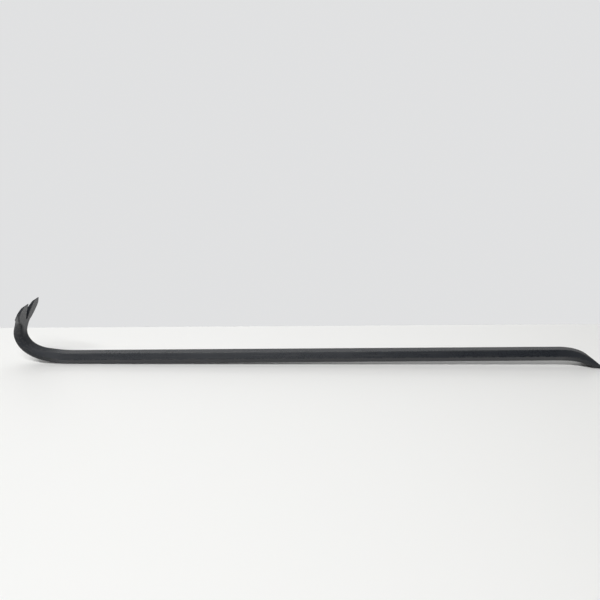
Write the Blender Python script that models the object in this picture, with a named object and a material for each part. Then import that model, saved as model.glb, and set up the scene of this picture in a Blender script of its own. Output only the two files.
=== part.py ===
"""Gooseneck pry bar, forged out of one length of hexagonal steel bar.

The bar is one loft: a forked nail-pulling claw on a hooked neck, a straight hexagonal shank,
and a chisel end that dips to the ground. It is modelled with its shank level, and is then
tipped until its heel and its cutting edge stand on one plane.
"""
import math

import bmesh
import bpy
from mathutils import Vector

MM = 0.001


def millimetres(*sizes):
    return tuple(size * MM for size in sizes)


# Overall size and stock.
OVERALL_LENGTH = 914 * MM
ACROSS_FLATS = 19.05 * MM
HALF_CORNERS = ACROSS_FLATS / math.sqrt(3)
EDGE_RADIUS = 1.0 * MM

# The upper line of the bar runs along the shank's top flat. From there it turns up round the
# inside of the hook, and down over the back of the chisel. Each arc is (radius, degrees).
HOOK_ARCS = ((200 * MM, 12.9), (51 * MM, 18.9), (22.8 * MM, 73.5), (185 * MM, 16.1))
CHISEL_ARCS = ((83.4 * MM, -37.1),)
CHISEL_STRAIGHT = 20 * MM

# Sections along each end. A row is the distance back from the tip, the half width, the half
# widths of the upper and lower flats, the thickness, the depth of the widest point, the radius
# beside the flats and the radius at the widest point. The last row is the stock.
STOCK = (HALF_CORNERS, HALF_CORNERS / 2, HALF_CORNERS / 2, ACROSS_FLATS, ACROSS_FLATS / 2,
         EDGE_RADIUS, EDGE_RADIUS)
CLAW_SECTIONS = (
    millimetres(0, 20.2, 19.9, 19.9, 1.2, 0.6, 0.3, 0.3),        # cutting edge
    millimetres(3, 22.0, 21.7, 21.4, 2.7, 1.3, 0.5, 0.5),        # rounded corner
    millimetres(12.5, 26.0, 25.6, 22.4, 4.8, 2.1, 0.8, 0.8),     # widest part
    millimetres(25, 22.0, 21.5, 17.2, 8.5, 2.5, 1.1, 1.1),       # thin outer edge
    millimetres(32, 18.1, 16.6, 12.9, 11.2, 2.8, 2.0, 2.0),      # shoulder
    millimetres(37, 15.9, 11.8, 8.8, 12.4, 5.4, 5.5, 4.0),       # root of the flare
    millimetres(45, 14.7, 9.1, 7.2, 13.6, 7.4, 8.0, 5.2),
    millimetres(53, 14.5, 7.8, 7.0, 14.9, 8.6, 10.5, 5.8),       # neck
    millimetres(76, 12.8, 6.5, 6.3, 17.4, 9.0, 8.0, 6.0),        # bend
    millimetres(93, 11.7, 5.9, 5.9, 18.9, 9.4, 5.5, 4.5),
    (111 * MM, *STOCK),
)
CHISEL_SECTIONS = (
    millimetres(0, 13.0, 12.7, 12.7, 1.2, 0.6, 0.3, 0.3),        # cutting edge
    millimetres(16, 13.5, 12.5, 12.5, 9.0, 4.5, 0.8, 0.8),       # blade
    millimetres(38, 12.4, 8.5, 8.5, 14.6, 7.3, 2.0, 2.0),        # root of the taper
    (68 * MM, *STOCK),
)

# Nail slot between the tines.
SLOT_DEPTH = 31 * MM
SLOT_MOUTH_HALF = 8.0 * MM
SLOT_ROOT_RADIUS = 1.8 * MM
SLOT_OVERRUN = 5 * MM
SLOT_CUT_HALF_DEPTH = 25 * MM

# Fineness of the mesh.
CORNER_STEPS = 3
SLOT_ROOT_STEPS = 8
TIP_LENGTH = 12 * MM
TIP_SPACING = 1.5 * MM
BEND_SPACING = 3 * MM
SHANK_SPACING = 60 * MM
SMOOTH_ANGLE = math.radians(30)

PAINT_COLOUR = (0.013, 0.015, 0.019, 1.0)
PAINT_ROUGHNESS = 0.38


def clear_scene():
    for item in list(bpy.data.objects):
        bpy.data.objects.remove(item, do_unlink=True)


def new_collection(name):
    group = bpy.data.collections.new(name)
    bpy.context.scene.collection.children.link(group)
    return group


def black_paint():
    material = bpy.data.materials.new("black_paint")
    material.use_nodes = True
    shader = material.node_tree.nodes["Principled BSDF"]
    shader.inputs["Base Color"].default_value = PAINT_COLOUR
    shader.inputs["Roughness"].default_value = PAINT_ROUGHNESS
    shader.inputs["Metallic"].default_value = 0.0
    return material


def arc_length(arcs):
    return sum(radius * math.radians(abs(turn)) for radius, turn in arcs)


def walk(arcs, distance):
    """Follow the arcs from the end of the shank, then straight on: reach, rise and heading."""
    reach = rise = heading = 0.0
    for radius, turn in arcs:
        step = min(distance, radius * math.radians(abs(turn)))
        bend = math.copysign(radius, turn)
        turned = heading + step / bend
        reach += bend * (math.sin(turned) - math.sin(heading))
        rise += bend * (math.cos(heading) - math.cos(turned))
        heading = turned
        distance -= step
    return reach + distance * math.cos(heading), rise + distance * math.sin(heading), heading


def interpolate(rows, column, distance):
    """Value of a column on a smooth curve through the rows that never overshoots them."""
    slopes = [(after[column] - before[column]) / (after[0] - before[0])
              for before, after in zip(rows, rows[1:])]
    tangents = [slopes[0]]
    for left, right in zip(slopes, slopes[1:]):
        tangents.append(2 * left * right / (left + right) if left * right > 0 else 0.0)
    tangents.append(0.0)
    low = max(i for i in range(len(slopes)) if rows[i][0] <= distance)
    gap = rows[low + 1][0] - rows[low][0]
    t = min((distance - rows[low][0]) / gap, 1.0)
    return (rows[low][column] * (1 + 2 * t) * (1 - t) ** 2
            + rows[low + 1][column] * t ** 2 * (3 - 2 * t)
            + tangents[low] * gap * t * (1 - t) ** 2
            - tangents[low + 1] * gap * t ** 2 * (1 - t))


def section(half_width, half_top, half_bottom, thickness, widest, flat_radius, side_radius):
    """Six-sided outline with rounded corners, across the bar and down from its upper line."""
    corners = [Vector((half_top, 0)), Vector((half_width, -widest)),
               Vector((half_bottom, -thickness)), Vector((-half_bottom, -thickness)),
               Vector((-half_width, -widest)), Vector((-half_top, 0))]
    radii = (flat_radius, side_radius, flat_radius) * 2
    outline = []
    for i, (corner, radius) in enumerate(zip(corners, radii)):
        back = (corners[i - 1] - corner).normalized()
        ahead = (corners[(i + 1) % len(corners)] - corner).normalized()
        half_angle = back.angle(ahead) / 2
        centre = corner + (back + ahead).normalized() * radius / math.sin(half_angle)
        start = corner + back * radius / math.tan(half_angle) - centre
        end = corner + ahead * radius / math.tan(half_angle) - centre
        outline += [centre + radius * start.slerp(end, step / CORNER_STEPS)
                    for step in range(CORNER_STEPS + 1)]
    return outline


def spaced(start, end, spacing):
    count = max(1, round((end - start) / spacing))
    return [start + (end - start) * i / count for i in range(count)]


def end_rings(arcs, straight, sections):
    """Rings from the tip back to the shank's end, each a list of (reach, across, rise)."""
    length = arc_length(arcs) + straight
    distances = spaced(0, TIP_LENGTH, TIP_SPACING) + spaced(TIP_LENGTH, length, BEND_SPACING)
    rings = []
    for back in distances:
        reach, rise, heading = walk(arcs, length - back)
        sizes = [interpolate(sections, column, back) for column in range(1, len(sections[0]))]
        rings.append([(reach - depth * math.sin(heading), across, rise + depth * math.cos(heading))
                      for across, depth in section(*sizes)])
    return rings


def furthest(rings):
    return max(reach for ring in rings for reach, across, rise in ring)


def bar_mesh(rings):
    """One closed body through all the rings, with its faces pointing out."""
    mesh = bpy.data.meshes.new("forged_bar")
    body = bmesh.new()
    rows = [[body.verts.new(point) for point in ring] for ring in rings]
    for row, following in zip(rows, rows[1:]):
        for i in range(len(row)):
            body.faces.new((row[i - 1], row[i], following[i], following[i - 1]))
    body.faces.new(rows[0])
    body.faces.new(rows[-1])
    bmesh.ops.recalc_face_normals(body, faces=body.faces)
    body.to_mesh(mesh)
    body.free()
    mesh.shade_smooth()
    mesh.set_sharp_from_angle(angle=SMOOTH_ANGLE)
    return mesh


def rest_on_ground(bar):
    """Tip the bar until its heel and its chisel touch the ground, and centre it over the origin."""
    points = [vertex.co.copy() for vertex in bar.data.vertices]
    tilt = 0.0
    for _ in range(6):
        turned = [(point.x * math.cos(tilt) + point.z * math.sin(tilt),
                   point.z * math.cos(tilt) - point.x * math.sin(tilt)) for point in points]
        heel = min((pair for pair in turned if pair[0] < 0), key=lambda pair: pair[1])
        chisel = min((pair for pair in turned if pair[0] > 0), key=lambda pair: pair[1])
        tilt += math.atan2(chisel[1] - heel[1], chisel[0] - heel[0])
    reaches = [pair[0] for pair in turned]
    bar.rotation_euler = (0, tilt, 0)
    bar.location = (-(min(reaches) + max(reaches)) / 2, 0, -heel[1])


def slot_cutter(shank_end, collection):
    """Wedge with a round root that cuts the nail slot square through the claw."""
    flare = math.atan((SLOT_MOUTH_HALF - SLOT_ROOT_RADIUS) / SLOT_DEPTH)
    mouth = SLOT_MOUTH_HALF + SLOT_OVERRUN * math.tan(flare)
    outline = [(SLOT_OVERRUN, -mouth), (SLOT_OVERRUN, mouth)]
    for step in range(SLOT_ROOT_STEPS + 1):
        angle = math.pi / 2 + flare + (math.pi - 2 * flare) * step / SLOT_ROOT_STEPS
        outline.append((SLOT_ROOT_RADIUS * (1 + math.cos(angle)) - SLOT_DEPTH,
                        SLOT_ROOT_RADIUS * math.sin(angle)))

    curve = bpy.data.curves.new("slot_cutter", "CURVE")
    curve.dimensions = "2D"
    curve.fill_mode = "BOTH"
    curve.extrude = SLOT_CUT_HALF_DEPTH
    spline = curve.splines.new("POLY")
    spline.points.add(len(outline) - 1)
    for point, (along, across) in zip(spline.points, outline):
        point.co = (along, across, 0, 1)
    spline.use_cyclic_u = True
    drawn = bpy.data.objects.new("slot_outline", curve)
    collection.objects.link(drawn)
    bpy.context.view_layer.update()
    mesh = bpy.data.meshes.new_from_object(drawn.evaluated_get(bpy.context.evaluated_depsgraph_get()))
    bpy.data.objects.remove(drawn, do_unlink=True)

    body = bmesh.new()
    body.from_mesh(mesh)
    bmesh.ops.remove_doubles(body, verts=body.verts, dist=0.01 * MM)
    bmesh.ops.recalc_face_normals(body, faces=body.faces)
    body.to_mesh(mesh)
    body.free()

    cutter = bpy.data.objects.new("slot_cutter", mesh)
    collection.objects.link(cutter)
    length = arc_length(HOOK_ARCS)
    tip_reach, tip_rise, _ = walk(HOOK_ARCS, length)
    heading = walk(HOOK_ARCS, length - SLOT_DEPTH / 2)[2]
    cutter.location = (-shank_end - tip_reach, 0, tip_rise)
    cutter.rotation_euler = (0, math.pi + heading, 0)
    cutter.hide_render = True
    cutter.display_type = "WIRE"
    return cutter


def main():
    clear_scene()
    parts = new_collection("pry_bar")
    cutters = new_collection("cutters")

    claw_end = end_rings(HOOK_ARCS, 0, CLAW_SECTIONS)
    chisel_end = end_rings(CHISEL_ARCS, CHISEL_STRAIGHT, CHISEL_SECTIONS)
    shank_length = OVERALL_LENGTH - furthest(claw_end) - furthest(chisel_end)
    shank_end = shank_length / 2

    rings = [[(-shank_end - reach, across, rise) for reach, across, rise in ring]
             for ring in claw_end]
    for place in spaced(-shank_end, shank_end, SHANK_SPACING) + [shank_end]:
        rings.append([(place, across, depth) for across, depth in section(*STOCK)])
    rings += [[(shank_end + reach, across, rise) for reach, across, rise in ring]
              for ring in reversed(chisel_end)]

    bar = bpy.data.objects.new("forged_bar", bar_mesh(rings))
    parts.objects.link(bar)
    bar.data.materials.append(black_paint())
    rest_on_ground(bar)

    cutter = slot_cutter(shank_end, cutters)
    cutter.parent = bar
    slot = bar.modifiers.new("nail_slot", "BOOLEAN")
    slot.operation = "DIFFERENCE"
    slot.solver = "EXACT"
    slot.object = cutter


if __name__ == "__main__":
    main()
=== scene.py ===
"""Looks for the gooseneck pry bar: the forged bar in black paint, lying on a pale studio floor."""
import math

import bmesh
import bpy
from mathutils import Matrix, Vector, noise


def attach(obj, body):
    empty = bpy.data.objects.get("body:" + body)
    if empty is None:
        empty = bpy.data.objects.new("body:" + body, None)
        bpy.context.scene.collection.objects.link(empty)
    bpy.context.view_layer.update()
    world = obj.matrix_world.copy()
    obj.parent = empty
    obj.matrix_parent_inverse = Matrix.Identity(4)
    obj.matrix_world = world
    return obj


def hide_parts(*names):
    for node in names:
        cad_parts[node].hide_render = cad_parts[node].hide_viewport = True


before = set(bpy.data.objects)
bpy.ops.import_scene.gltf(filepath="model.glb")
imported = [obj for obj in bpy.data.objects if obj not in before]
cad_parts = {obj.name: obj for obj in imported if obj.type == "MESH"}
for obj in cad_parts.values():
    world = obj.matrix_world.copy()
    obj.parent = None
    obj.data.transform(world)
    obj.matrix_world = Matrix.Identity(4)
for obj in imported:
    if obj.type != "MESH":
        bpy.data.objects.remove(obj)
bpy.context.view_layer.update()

MM = 0.001


def millimetres(*sizes):
    return tuple(size * MM for size in sizes)


# ---------------------------------------------------------------- sizes shared with the CAD
OVERALL_LENGTH = 914 * MM
ACROSS_FLATS = 19.05 * MM
HALF_CORNERS = ACROSS_FLATS / math.sqrt(3)
EDGE_RADIUS = 1.0 * MM
# Arcs of the upper line, outward from the shank: radius, and turn in degrees
HOOK_ARCS = ((200 * MM, 12.9), (51 * MM, 18.9), (22.8 * MM, 73.5), (185 * MM, 16.1))
CHISEL_ARCS = ((83.4 * MM, -37.1),)
CHISEL_STRAIGHT = 20 * MM
# Sizes of a section: half its width, half of its top and of its bottom flat, its thickness, how
# deep its widest level lies, and the radii of the corners of its flats and of its sides. The
# sections of the ends begin with their distance back from the tip, along the upper line.
STOCK = (HALF_CORNERS, HALF_CORNERS / 2, HALF_CORNERS / 2, ACROSS_FLATS, ACROSS_FLATS / 2,
         EDGE_RADIUS, EDGE_RADIUS)
CLAW_SECTIONS = (
    millimetres(0, 20.2, 19.9, 19.9, 1.2, 0.6, 0.3, 0.3),
    millimetres(3, 22.0, 21.7, 21.4, 2.7, 1.3, 0.5, 0.5),
    millimetres(12.5, 26.0, 25.6, 22.4, 4.8, 2.1, 0.8, 0.8),
    millimetres(25, 22.0, 21.5, 17.2, 8.5, 2.5, 1.1, 1.1),
    millimetres(32, 18.1, 16.6, 12.9, 11.2, 2.8, 2.0, 2.0),
    millimetres(37, 15.9, 11.8, 8.8, 12.4, 5.4, 5.5, 4.0),
    millimetres(45, 14.7, 9.1, 7.2, 13.6, 7.4, 8.0, 5.2),
    millimetres(53, 14.5, 7.8, 7.0, 14.9, 8.6, 10.5, 5.8),
    millimetres(76, 12.8, 6.5, 6.3, 17.4, 9.0, 8.0, 6.0),
    millimetres(93, 11.7, 5.9, 5.9, 18.9, 9.4, 5.5, 4.5),
    (111 * MM, *STOCK),
)
CHISEL_SECTIONS = (
    millimetres(0, 13.0, 12.7, 12.7, 1.2, 0.6, 0.3, 0.3),
    millimetres(16, 13.5, 12.5, 12.5, 9.0, 4.5, 0.8, 0.8),
    millimetres(38, 12.4, 8.5, 8.5, 14.6, 7.3, 2.0, 2.0),
    (68 * MM, *STOCK),
)
SLOT_DEPTH = 31 * MM
SLOT_MOUTH_HALF = 8.0 * MM
SLOT_ROOT_RADIUS = 1.8 * MM

# ---------------------------------------------------------------- finer shape of the real piece
SLOT_RIM = 0.9 * MM            # rounded rim of the nail slot
EDGE_NOSE = 0.45 * MM          # rounding of the two cutting edges
RIM_LIMIT = 0.45               # most of the thickness that one rim may take
RIM_STEPS = (0.0, 0.06, 0.18, 0.36, 0.62, 1.0)         # columns over the rim, as shares of it
EVEN_COLUMNS = (SLOT_DEPTH + 1.5 * MM, SLOT_DEPTH + 18 * MM)   # where columns spread out evenly
FLAT_COLUMNS = 6               # further columns across half of the top or bottom flat
SIDE_COLUMNS = 4
CORNER_COLUMNS = 6
WALL_COLUMNS = 6
ROOT_RINGS = 8
TIP_RINGS = (0.0, 0.05, 0.15, 0.28, 0.45, 0.8, 1.4, 2.2)   # mm back from a cutting edge
CLAW_SPACING = 1.3 * MM
SHOULDER_SPACING = 0.9 * MM
SHOULDER_END = SLOT_DEPTH + 14 * MM
BEND_SPACING = 2.0 * MM
SHANK_SPACING = 3.5 * MM
FAR_FROM_TIP = 1.0             # stands for a section of plain stock
MERGE_DISTANCE = 0.002 * MM
TILT_PASSES = 6
FORGED_RELIEF = 0.22 * MM      # hammered unevenness of the claw, neck and blade
STOCK_RELIEF = 0.05 * MM       # unevenness of the rolled stock
BROAD_DENTS = (55, (7.3, 1.9, 4.2), 0.42)     # waves per metre, offset, share of the relief
FINE_DENTS = (160, (2.1, 8.8, 3.7), 0.2)
ROLLED_WAVES = (14, 90, 90)    # per metre along, across and up: long streaks down the stock
CLAW_FADE = (-40 * MM, 10 * MM)       # where forging fades out, from the end of the shank
CHISEL_FADE = (-5 * MM, 30 * MM)
BEND_REACH = (-420 * MM, -384 * MM)   # where the duller scale of the bend fades into the shank
BEND_RISE = (44 * MM, 62 * MM)        # and up into the neck
BLADE_REACH = (410 * MM, 434 * MM)    # where the duller blade begins
BLADE_DULLNESS = 0.6           # against the bend
SMOOTH_ANGLE = math.radians(40)

# ---------------------------------------------------------------- black paint
PAINT_DARK = (0.0085, 0.0112, 0.0160, 1.0)
PAINT_LIGHT = (0.0118, 0.0143, 0.0192, 1.0)
DUST_COLOUR = (0.0300, 0.0310, 0.0330, 1.0)
RUBBED_COLOUR = (0.0480, 0.0480, 0.0480, 1.0)
PAINT_IOR = 1.5
# Noise fields: scale per metre, detail, stretch and offset
EVEN, UNMOVED = (1, 1, 1), (0, 0, 0)
PATCHES = (38.0, 4.0, (0.4, 1, 1), UNMOVED)
STREAKS = (1.0, 5.0, (16, 480, 480), UNMOVED)
ORANGE_PEEL = (620.0, 2.0, EVEN, UNMOVED)
GRIT = (1500.0, 3.0, EVEN, (3, 5, 7))
SCALE_PITS = (210.0, 5.0, EVEN, (11, 2, 9))
CHIPS = (330.0, 6.0, EVEN, (1, 14, 6))
# What a field becomes: its low and high value, and what they turn into
PATCH_TONE = (0.35, 0.68, 0.0, 1.0)
STREAK_DUST = (0.52, 0.75, 0.0, 0.55)
EDGE_WEAR = (0.35, 1.0, 0.0, 1.0)
CHIP_WEAR = (0.46, 0.66, 0.0, 0.7)
PATCH_ROUGHNESS = (0.3, 0.7, 0.27, 0.32)
GRIT_ROUGHNESS = (0.3, 0.7, -0.03, 0.04)
PIT_DEPTH = (0.30, 0.56, -1.0, 0.0)
# Roughness added where the paint is rubbed, dusty, dull with scale, or on a forged end
RUBBED_ROUGHNESS, DUST_ROUGHNESS, DULL_ROUGHNESS, FORGED_ROUGHNESS = 0.16, 0.10, 0.30, 0.10
# Height of each part of the bump, as a share of its full depth
BUMP_DEPTH = 0.07 * MM
PEEL_HEIGHT, STREAK_HEIGHT, STOCK_PITS, FORGED_PITS = 0.30, 0.35, 0.12, 0.75
MIX_FIRST, MIX_SECOND, MIX_RESULT = 6, 7, 2    # a mix node's colour sockets, which share names

# ---------------------------------------------------------------- camera, stage and lights
CAMERA_PLACE = (-0.0079, -0.6542, 0.361)
CAMERA_PITCH = 21.17           # degrees below the level
CAMERA_HEADING = 0.59
CAMERA_LENS = 28.0             # in mm
SENSOR_WIDTH = 36.0
CAMERA_NEAR = 0.01
TABLE_BACK_EDGE = 0.147        # behind the bar, where the pale backdrop begins
TABLE_SKEW = 1.5               # degrees
TABLE_HALF_LENGTH = 1.6
TABLE_DEPTH = 1.8
TABLE_THICKNESS = 0.03
TABLE_EDGE_RADIUS = 0.004
TABLE_EDGE_STEPS = 6
BACKDROP_COLOUR = (0.750, 0.754, 0.760, 1.0)
TABLE_COLOUR = (0.858, 0.86, 0.85, 1.0)
TABLE_NOISE = (3.0, 2.0)       # scale per metre and detail of its uneven gloss
TABLE_ROUGHNESS = (0.52, 0.60)
LIGHT_COLOUR = (1.0, 0.998, 0.994)
LIGHTS = (                     # name, place, aim, size, watts, whether it lights matt surfaces
    ("key_strip", (-0.65, -1.35, 2.40), (-0.2, 0, 0), (3.2, 0.20), 76.5, True),
    ("overhead_fill", (-0.3, 0.9, 1.70), (-0.3, 0.3, 0), (3.0, 2.0), 16.0, True),
    ("back_card", (-0.1, 1.6, 0.0), (-0.1, 0, 0.0), (4.4, 3.0), 33.0, True),
    ("front_left_card", (-1.1, -1.6, 1.15), (-1.1, 0, 0.1), (2.6, 1.5), 9.2, False),
    ("front_right_card", (1.3, -1.6, 1.15), (1.3, 0, 0.1), (2.2, 1.5), 2.4, False),
)


def arc_length(arcs):
    """Length along a chain of arcs, each given by its radius and its turn in degrees."""
    return sum(radius * math.radians(abs(turn)) for radius, turn in arcs)


def walk(arcs, distance):
    """Reach, rise and heading after a distance along the arcs and straight on from their end."""
    reach = rise = heading = 0.0
    for radius, turn in arcs:
        step = min(distance, radius * math.radians(abs(turn)))
        bend = math.copysign(radius, turn)
        turned = heading + step / bend
        reach += bend * (math.sin(turned) - math.sin(heading))
        rise += bend * (math.cos(heading) - math.cos(turned))
        heading = turned
        distance -= step
    return reach + distance * math.cos(heading), rise + distance * math.sin(heading), heading


def interpolate(rows, column, distance):
    """One size between sections, on a smooth curve that never overshoots its neighbours."""
    slopes = [(after[column] - before[column]) / (after[0] - before[0])
              for before, after in zip(rows, rows[1:])]
    tangents = [slopes[0]]
    for left, right in zip(slopes, slopes[1:]):
        tangents.append(2 * left * right / (left + right) if left * right > 0 else 0.0)
    tangents.append(0.0)
    low = max(i for i in range(len(slopes)) if rows[i][0] <= distance)
    gap = rows[low + 1][0] - rows[low][0]
    t = min((distance - rows[low][0]) / gap, 1.0)
    return (rows[low][column] * (1 + 2 * t) * (1 - t) ** 2
            + rows[low + 1][column] * t ** 2 * (3 - 2 * t)
            + tangents[low] * gap * t * (1 - t) ** 2
            - tangents[low + 1] * gap * t ** 2 * (1 - t))


def sizes_at(sections, distance):
    """The sizes of the section at a distance back from the tip."""
    return [interpolate(sections, column, distance) for column in range(1, len(sections[0]))]


def corner_arc(corner, back, ahead, radius):
    """Points round one corner, from the side it is reached along to the side it is left by."""
    to_back = (back - corner).normalized()
    to_ahead = (ahead - corner).normalized()
    half_angle = to_back.angle(to_ahead) / 2
    centre = corner + (to_back + to_ahead).normalized() * radius / math.sin(half_angle)
    start = corner + to_back * radius / math.tan(half_angle) - centre
    end = corner + to_ahead * radius / math.tan(half_angle) - centre
    return [centre + radius * start.slerp(end, step / (CORNER_COLUMNS - 1))
            for step in range(CORNER_COLUMNS)]


def slot_flare():
    """Angle between the slot's wall and the middle of the bar."""
    return math.atan((SLOT_MOUTH_HALF - SLOT_ROOT_RADIUS) / SLOT_DEPTH)


def slot_half(back):
    """Half width of the nail slot at a distance back from the tip, 0 beyond its root."""
    flare = slot_flare()
    past_centre = back - (SLOT_DEPTH - SLOT_ROOT_RADIUS)
    if past_centre >= SLOT_ROOT_RADIUS * math.sin(flare):
        return math.sqrt(max(SLOT_ROOT_RADIUS ** 2 - past_centre ** 2, 0.0))
    touch = SLOT_DEPTH - SLOT_ROOT_RADIUS + SLOT_ROOT_RADIUS * math.sin(flare)
    narrow = SLOT_ROOT_RADIUS * math.cos(flare)
    return SLOT_MOUTH_HALF + (narrow - SLOT_MOUTH_HALF) * back / touch


def slot_distance(back, across):
    """Distance to the slot's outline from a point outside it."""
    flare = slot_flare()
    past_centre = back - (SLOT_DEPTH - SLOT_ROOT_RADIUS)
    if math.atan2(past_centre, across) >= flare:
        return math.hypot(past_centre, across) - SLOT_ROOT_RADIUS
    return (across - slot_half(back)) * math.cos(flare)


def rounding(distance, radius):
    """How far a rounded edge of that radius has fallen away at a distance in from it."""
    if distance >= radius:
        return 0.0
    return radius - math.sqrt(radius ** 2 - (radius - max(distance, 0.0)) ** 2)


def smooth_step(low, high, value):
    """Rise from 0 at low to 1 at high, level at both."""
    t = min(max((value - low) / (high - low), 0.0), 1.0)
    return t * t * (3 - 2 * t)


def flat_columns(inner, outer, back):
    """Places across half of a flat: close together beside the slot, evenly spread elsewhere."""
    count = len(RIM_STEPS) + FLAT_COLUMNS
    rim = min(SLOT_RIM, (outer - inner) / 2)
    beside = [inner + rim * step for step in RIM_STEPS]
    beside += [inner + rim + (outer - inner - rim) * (i + 1) / (FLAT_COLUMNS + 1)
               for i in range(FLAT_COLUMNS)]
    even = [inner + (outer - inner) * i / count for i in range(count)]
    share = smooth_step(*EVEN_COLUMNS, back)
    return [a + (b - a) * share for a, b in zip(beside, even)]


def half_section(sizes, back, slotted):
    """Half outline at y >= 0 from the middle of the top round to the middle of the bottom.

    Each point is (across, depth, on an edge). The wall of the slot is given separately.
    """
    half_width, half_top, half_bottom, thickness, widest, flat_radius, side_radius = sizes
    nose = rounding(back, EDGE_NOSE)
    low = thickness - nose
    corners = [Vector((half_top - nose, nose)), Vector((half_width - nose, widest)),
               Vector((half_bottom - nose, low))]
    ends = [Vector((0, nose)), *corners, Vector((0, low))]
    left_over = (low - nose) / thickness
    arcs = [corner_arc(ends[i], ends[i - 1], ends[i + 1], radius * left_over)
            for i, radius in ((1, flat_radius), (2, side_radius), (3, flat_radius))]

    inner = slot_half(back) if slotted else 0.0
    rim = min(SLOT_RIM, (low - nose) * RIM_LIMIT)

    def flat(outer, level, inward):
        row = []
        for across in flat_columns(inner, outer, back if slotted else FAR_FROM_TIP):
            drop = rounding(slot_distance(back, across), rim) if slotted else 0.0
            row.append((across, level + inward * drop, 1.0 if drop > 0 else 0.0))
        return row

    points = flat(arcs[0][0].x, nose, 1)
    for i, arc in enumerate(arcs):
        points += [(point.x, point.y, 1.0) for point in arc]
        if i < 2:
            start, end = arc[-1], arcs[i + 1][0]
            for k in range(SIDE_COLUMNS):
                point = start.lerp(end, (k + 1) / (SIDE_COLUMNS + 1))
                points.append((point.x, point.y, 0.0))
    points += reversed(flat(arcs[2][-1].x, low, -1))

    wall = []
    if slotted and back <= SLOT_DEPTH:
        first, last = points[0], points[-1]
        for k in range(WALL_COLUMNS):
            share = (k + 1) / (WALL_COLUMNS + 1)
            wall.append((inner, last[1] + (first[1] - last[1]) * share, 0.0))
    return points, wall


def spread(start, end, spacing):
    """Evenly spaced places after start, up to and with end."""
    count = max(1, round((end - start) / spacing))
    return [start + (end - start) * (i + 1) / count for i in range(count)]


def claw_distances(length):
    """Where the claw's rings lie: closest at its tip, round the slot's root and over its rim."""
    centre = SLOT_DEPTH - SLOT_ROOT_RADIUS
    flare = slot_flare()
    tip = [step * MM for step in TIP_RINGS]
    touch = centre + SLOT_ROOT_RADIUS * math.sin(flare)
    root = [centre + SLOT_ROOT_RADIUS
            * math.sin(flare + (math.pi / 2 - flare) * (i + 1) / ROOT_RINGS)
            for i in range(ROOT_RINGS)]
    root[-1] = SLOT_DEPTH
    rim = [SLOT_DEPTH + SLOT_RIM * step for step in RIM_STEPS[1:]]
    shoulder = spread(rim[-1], SHOULDER_END, SHOULDER_SPACING)
    return (tip + spread(tip[-1], touch, CLAW_SPACING) + root + rim + shoulder
            + spread(shoulder[-1], length, BEND_SPACING))


def chisel_distances(length):
    """Where the chisel's rings lie: closest at its tip."""
    tip = [step * MM for step in TIP_RINGS]
    return tip + spread(tip[-1], length, BEND_SPACING)


def end_half(arcs, straight, sections, distances, slotted):
    """Half rings of one end, from its tip to the shank: (points, wall of the slot)."""
    length = arc_length(arcs) + straight
    rings = []
    for back in distances:
        reach, rise, heading = walk(arcs, length - back)
        points, wall = half_section(sizes_at(sections, back), back, slotted)

        def place(items):
            return [(reach + depth * math.sin(heading), across,
                     rise - depth * math.cos(heading), edge) for across, depth, edge in items]

        rings.append((place(points), place(wall)))
    return rings


def bar_mesh():
    """The whole bar, level, as one closed mesh with the edge mask stored on its points.

    Comes with how far its shank runs to either side of the middle.
    """
    claw_length = arc_length(HOOK_ARCS)
    chisel_length = arc_length(CHISEL_ARCS) + CHISEL_STRAIGHT
    claw = end_half(HOOK_ARCS, 0, CLAW_SECTIONS, claw_distances(claw_length), True)
    chisel = end_half(CHISEL_ARCS, CHISEL_STRAIGHT, CHISEL_SECTIONS,
                      chisel_distances(chisel_length), False)
    claw_reach = max(point[0] for ring, _ in claw for point in ring)
    chisel_reach = max(point[0] for ring, _ in chisel for point in ring)
    shank_end = (OVERALL_LENGTH - claw_reach - chisel_reach) / 2

    rings = [([(-shank_end - x, y, z, e) for x, y, z, e in ring],
              [(-shank_end - x, y, z, e) for x, y, z, e in wall]) for ring, wall in claw]
    stock, _ = half_section(STOCK, FAR_FROM_TIP, False)
    for x in spread(-shank_end, shank_end, SHANK_SPACING)[:-1]:
        rings.append(([(x, across, -depth, edge) for across, depth, edge in stock], []))
    rings += [([(shank_end + x, y, z, e) for x, y, z, e in ring], [])
              for ring, _ in reversed(chisel)]

    body = bmesh.new()
    edge_layer = body.verts.layers.float.new("edge")
    for side in (1, -1):
        grid = []
        for ring, wall in rings:
            row = []
            for x, y, z, edge in ring + wall:
                vert = body.verts.new((x, side * y, z))
                vert[edge_layer] = edge
                row.append(vert)
            grid.append((row, len(ring)))
        for (row, count), (after, after_count) in zip(grid, grid[1:]):
            for i in range(count - 1):
                body.faces.new((row[i], row[i + 1], after[i + 1], after[i]))
            if len(row) > count and len(after) > after_count:
                loop, loop_after = row[count - 1:] + row[:1], after[count - 1:] + after[:1]
                for i in range(len(loop) - 1):
                    body.faces.new((loop[i], loop[i + 1], loop_after[i + 1], loop_after[i]))
        body.faces.new(grid[0][0])
        body.faces.new(grid[-1][0])
    bmesh.ops.remove_doubles(body, verts=body.verts, dist=MERGE_DISTANCE)
    bmesh.ops.recalc_face_normals(body, faces=body.faces)
    return body, shank_end


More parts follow.
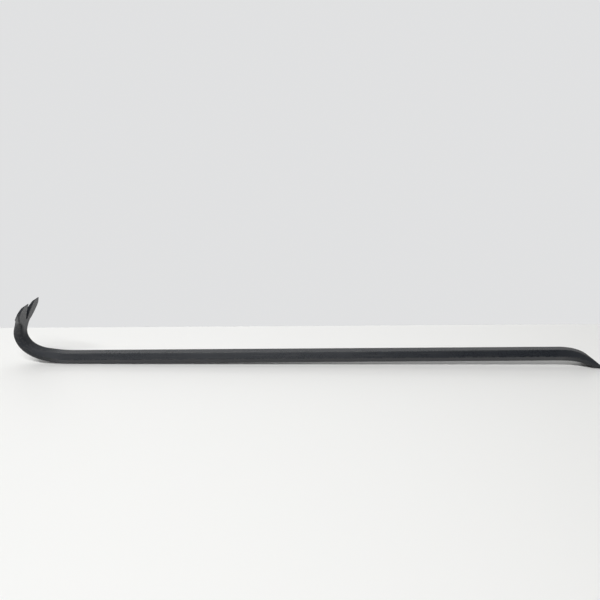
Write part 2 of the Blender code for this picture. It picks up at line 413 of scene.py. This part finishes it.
def rest_on_ground(body):
    """Tip the bar until its heel and chisel touch the ground, and centre it over the origin."""
    points = [(vert.co.x, vert.co.z) for vert in body.verts]
    tilt = 0.0
    for _ in range(TILT_PASSES):
        turned = [(x * math.cos(tilt) + z * math.sin(tilt),
                   z * math.cos(tilt) - x * math.sin(tilt)) for x, z in points]
        heel = min((pair for pair in turned if pair[0] < 0), key=lambda pair: pair[1])
        chisel = min((pair for pair in turned if pair[0] > 0), key=lambda pair: pair[1])
        tilt += math.atan2(chisel[1] - heel[1], chisel[0] - heel[0])
    reaches = [pair[0] for pair in turned]
    shift = Matrix.Translation((-(min(reaches) + max(reaches)) / 2, 0, -heel[1]))
    bmesh.ops.transform(body, matrix=shift @ Matrix.Rotation(tilt, 4, "Y"), verts=body.verts)


def dents(place, field):
    """Rise or fall of one noise field at a place, as a share of the relief."""
    per_metre, offset, share = field
    return share * noise.noise(place * per_metre + Vector(offset))


def relief(body, shank_end):
    """Sink the surface a little where the hammer and the rolls left it uneven.

    How far each point is forged and how dull it is are stored on it for the paint.
    """
    forged_layer = body.verts.layers.float.new("forged")
    dull_layer = body.verts.layers.float.new("dull")
    body.normal_update()
    moves = []
    for vert in body.verts:
        place = vert.co
        forged = max(1 - smooth_step(*(-shank_end + fade for fade in CLAW_FADE), place.x),
                     smooth_step(*(shank_end + fade for fade in CHISEL_FADE), place.x))
        vert[forged_layer] = forged
        vert[dull_layer] = max((1 - smooth_step(*BEND_REACH, place.x))
                               * (1 - smooth_step(*BEND_RISE, place.z)),
                               BLADE_DULLNESS * smooth_step(*BLADE_REACH, place.x))
        hammered = 0.5 + dents(place, BROAD_DENTS) + dents(place, FINE_DENTS)
        rolled = 0.5 + 0.5 * noise.noise(place * Vector(ROLLED_WAVES))
        depth = forged * FORGED_RELIEF * hammered + STOCK_RELIEF * rolled
        moves.append(vert.normal * -max(depth, 0.0))
    for vert, move in zip(body.verts, moves):
        vert.co += move


def black_paint():
    """Black enamel on forged steel: soft gloss, orange peel, scale pits and rubbed edges."""
    material = bpy.data.materials.new("black_paint_worn")
    material.use_nodes = True
    tree = material.node_tree
    nodes, links = tree.nodes, tree.links
    shader = nodes["Principled BSDF"]

    def add(kind, **values):
        node = nodes.new(kind)
        for name, value in values.items():
            setattr(node, name, value)
        return node

    def stored(name):
        return add("ShaderNodeAttribute", attribute_name=name).outputs["Fac"]

    def texture(scale, detail, stretch, offset):
        mapping = add("ShaderNodeMapping")
        mapping.inputs["Scale"].default_value = stretch
        mapping.inputs["Location"].default_value = offset
        links.new(place.outputs["Object"], mapping.inputs["Vector"])
        field = add("ShaderNodeTexNoise")
        field.inputs["Scale"].default_value = scale
        field.inputs["Detail"].default_value = detail
        links.new(mapping.outputs["Vector"], field.inputs["Vector"])
        return field.outputs["Fac"]

    def remap(value, limits):
        node = add("ShaderNodeMapRange", interpolation_type="SMOOTHSTEP")
        for name, limit in zip(("From Min", "From Max", "To Min", "To Max"), limits):
            node.inputs[name].default_value = limit
        links.new(value, node.inputs["Value"])
        return node.outputs["Result"]

    def combine(operation, first, second):
        node = add("ShaderNodeMath", operation=operation)
        for slot, value in zip(node.inputs, (first, second)):
            if isinstance(value, float):
                slot.default_value = value
            else:
                links.new(value, slot)
        return node.outputs["Value"]

    def times(first, second):
        return combine("MULTIPLY", first, second)

    def plus(total, *values):
        for value in values:
            total = combine("ADD", total, value)
        return total

    def mix(share, first, second):
        node = add("ShaderNodeMix", data_type="RGBA")
        links.new(share, node.inputs["Factor"])
        for slot, value in ((node.inputs[MIX_FIRST], first), (node.inputs[MIX_SECOND], second)):
            if isinstance(value, tuple):
                slot.default_value = value
            else:
                links.new(value, slot)
        return node.outputs[MIX_RESULT]

    place = add("ShaderNodeTexCoord")
    edge, forged, dull = stored("edge"), stored("forged"), stored("dull")
    patches, streaks = texture(*PATCHES), texture(*STREAKS)

    # colour: near-black, slightly blue, a little paler where it is rubbed or dusty
    dusty = remap(streaks, STREAK_DUST)
    rubbed = times(remap(edge, EDGE_WEAR), remap(texture(*CHIPS), CHIP_WEAR))
    tone = mix(remap(patches, PATCH_TONE), PAINT_DARK, PAINT_LIGHT)
    tone = mix(dusty, tone, DUST_COLOUR)
    tone = mix(rubbed, tone, RUBBED_COLOUR)
    links.new(tone, shader.inputs["Base Color"])

    # roughness: satin, duller where it is rubbed, dusty or scaled
    rough = plus(remap(patches, PATCH_ROUGHNESS), remap(texture(*GRIT), GRIT_ROUGHNESS),
                 times(rubbed, RUBBED_ROUGHNESS), times(dusty, DUST_ROUGHNESS),
                 times(dull, DULL_ROUGHNESS), times(forged, FORGED_ROUGHNESS))
    links.new(rough, shader.inputs["Roughness"])
    shader.inputs["Metallic"].default_value = 0.0
    shader.inputs["IOR"].default_value = PAINT_IOR

    # relief too fine for the mesh: orange peel everywhere, forging scale on the worked ends
    pits = times(remap(texture(*SCALE_PITS), PIT_DEPTH),
                 plus(times(forged, FORGED_PITS), STOCK_PITS))
    height = plus(times(texture(*ORANGE_PEEL), PEEL_HEIGHT), pits, times(streaks, STREAK_HEIGHT))
    bump = add("ShaderNodeBump")
    bump.inputs["Strength"].default_value = 1.0
    bump.inputs["Distance"].default_value = BUMP_DEPTH
    links.new(height, bump.inputs["Height"])
    links.new(bump.outputs["Normal"], shader.inputs["Normal"])
    return material


def table_finish():
    """Pale satin with a faintly uneven gloss."""
    material = bpy.data.materials.new("pale_table")
    material.use_nodes = True
    tree = material.node_tree
    shader = tree.nodes["Principled BSDF"]
    place = tree.nodes.new("ShaderNodeTexCoord")
    field = tree.nodes.new("ShaderNodeTexNoise")
    field.inputs["Scale"].default_value, field.inputs["Detail"].default_value = TABLE_NOISE
    ramp = tree.nodes.new("ShaderNodeMapRange")
    ramp.inputs["To Min"].default_value, ramp.inputs["To Max"].default_value = TABLE_ROUGHNESS
    tree.links.new(place.outputs["Object"], field.inputs["Vector"])
    tree.links.new(field.outputs["Fac"], ramp.inputs["Value"])
    tree.links.new(ramp.outputs["Result"], shader.inputs["Roughness"])
    shader.inputs["Base Color"].default_value = TABLE_COLOUR
    return material


def link(obj):
    """Put an object in the scene."""
    bpy.context.scene.collection.objects.link(obj)
    return obj


def make_bar():
    """The painted bar, which stands for the CAD node."""
    body, shank_end = bar_mesh()
    rest_on_ground(body)
    relief(body, shank_end)
    mesh = bpy.data.meshes.new("forged_bar_painted")
    body.to_mesh(mesh)
    body.free()
    mesh.shade_smooth()
    mesh.set_sharp_from_angle(angle=SMOOTH_ANGLE)
    mesh.materials.append(black_paint())
    bar = link(bpy.data.objects.new("forged_bar_painted", mesh))
    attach(bar, "root")
    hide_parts("forged_bar")


def make_table():
    """A pale table top with a softly rounded back edge, a little askew to the bar."""
    front, back = TABLE_BACK_EDGE - TABLE_DEPTH, TABLE_BACK_EDGE
    radius = TABLE_EDGE_RADIUS
    profile = [(front, -TABLE_THICKNESS), (front, 0.0)]
    for step in range(TABLE_EDGE_STEPS + 1):
        angle = math.pi / 2 * (1 - step / TABLE_EDGE_STEPS)
        profile.append((back - radius + radius * math.cos(angle),
                        -radius + radius * math.sin(angle)))
    profile.append((back, -TABLE_THICKNESS))
    body = bmesh.new()
    rows = [[body.verts.new((x, y, z)) for y, z in profile]
            for x in (-TABLE_HALF_LENGTH, TABLE_HALF_LENGTH)]
    for i in range(len(profile)):
        body.faces.new((rows[0][i - 1], rows[0][i], rows[1][i], rows[1][i - 1]))
    body.faces.new(rows[0])
    body.faces.new(rows[1])
    bmesh.ops.recalc_face_normals(body, faces=body.faces)
    turn = Matrix.Rotation(math.radians(TABLE_SKEW), 4, "Z")
    bmesh.ops.transform(body, matrix=turn, verts=body.verts)
    mesh = bpy.data.meshes.new("table_top")
    body.to_mesh(mesh)
    body.free()
    mesh.shade_smooth()
    mesh.set_sharp_from_angle(angle=SMOOTH_ANGLE)
    mesh.materials.append(table_finish())
    table = link(bpy.data.objects.new("table_top", mesh))


def make_light(name, place, target, size, power, lights_matt):
    """A softbox that lights the bar and shows in its gloss, out of sight of the camera."""
    data = bpy.data.lights.new(name, "AREA")
    data.shape = "RECTANGLE"
    data.size, data.size_y = size
    data.energy = power
    data.color = LIGHT_COLOUR
    lamp = link(bpy.data.objects.new(name, data))
    lamp.location = place
    lamp.rotation_euler = (Vector(target) - Vector(place)).to_track_quat("-Z", "Y").to_euler()
    lamp.visible_camera = False
    lamp.visible_diffuse = lights_matt


def make_lights():
    """The softboxes, and a pale backdrop that shows but lights nothing."""
    world = bpy.data.worlds.new("backdrop")
    world.use_nodes = True
    world.node_tree.nodes["Background"].inputs["Color"].default_value = BACKDROP_COLOUR
    bpy.context.scene.world = world
    world.cycles_visibility.diffuse = False
    world.cycles_visibility.glossy = False
    for light in LIGHTS:
        make_light(*light)


def make_camera():
    """A camera in front of the bar and a little above it."""
    data = bpy.data.cameras.new("camera")
    data.sensor_width = SENSOR_WIDTH
    data.lens = CAMERA_LENS
    data.clip_start = CAMERA_NEAR
    camera = link(bpy.data.objects.new("camera", data))
    camera.location = CAMERA_PLACE
    camera.rotation_euler = (math.radians(90 - CAMERA_PITCH), 0, math.radians(CAMERA_HEADING))
    bpy.context.scene.camera = camera


make_bar()
make_table()
make_lights()
make_camera()
bpy.context.scene.view_settings.view_transform = "Standard"
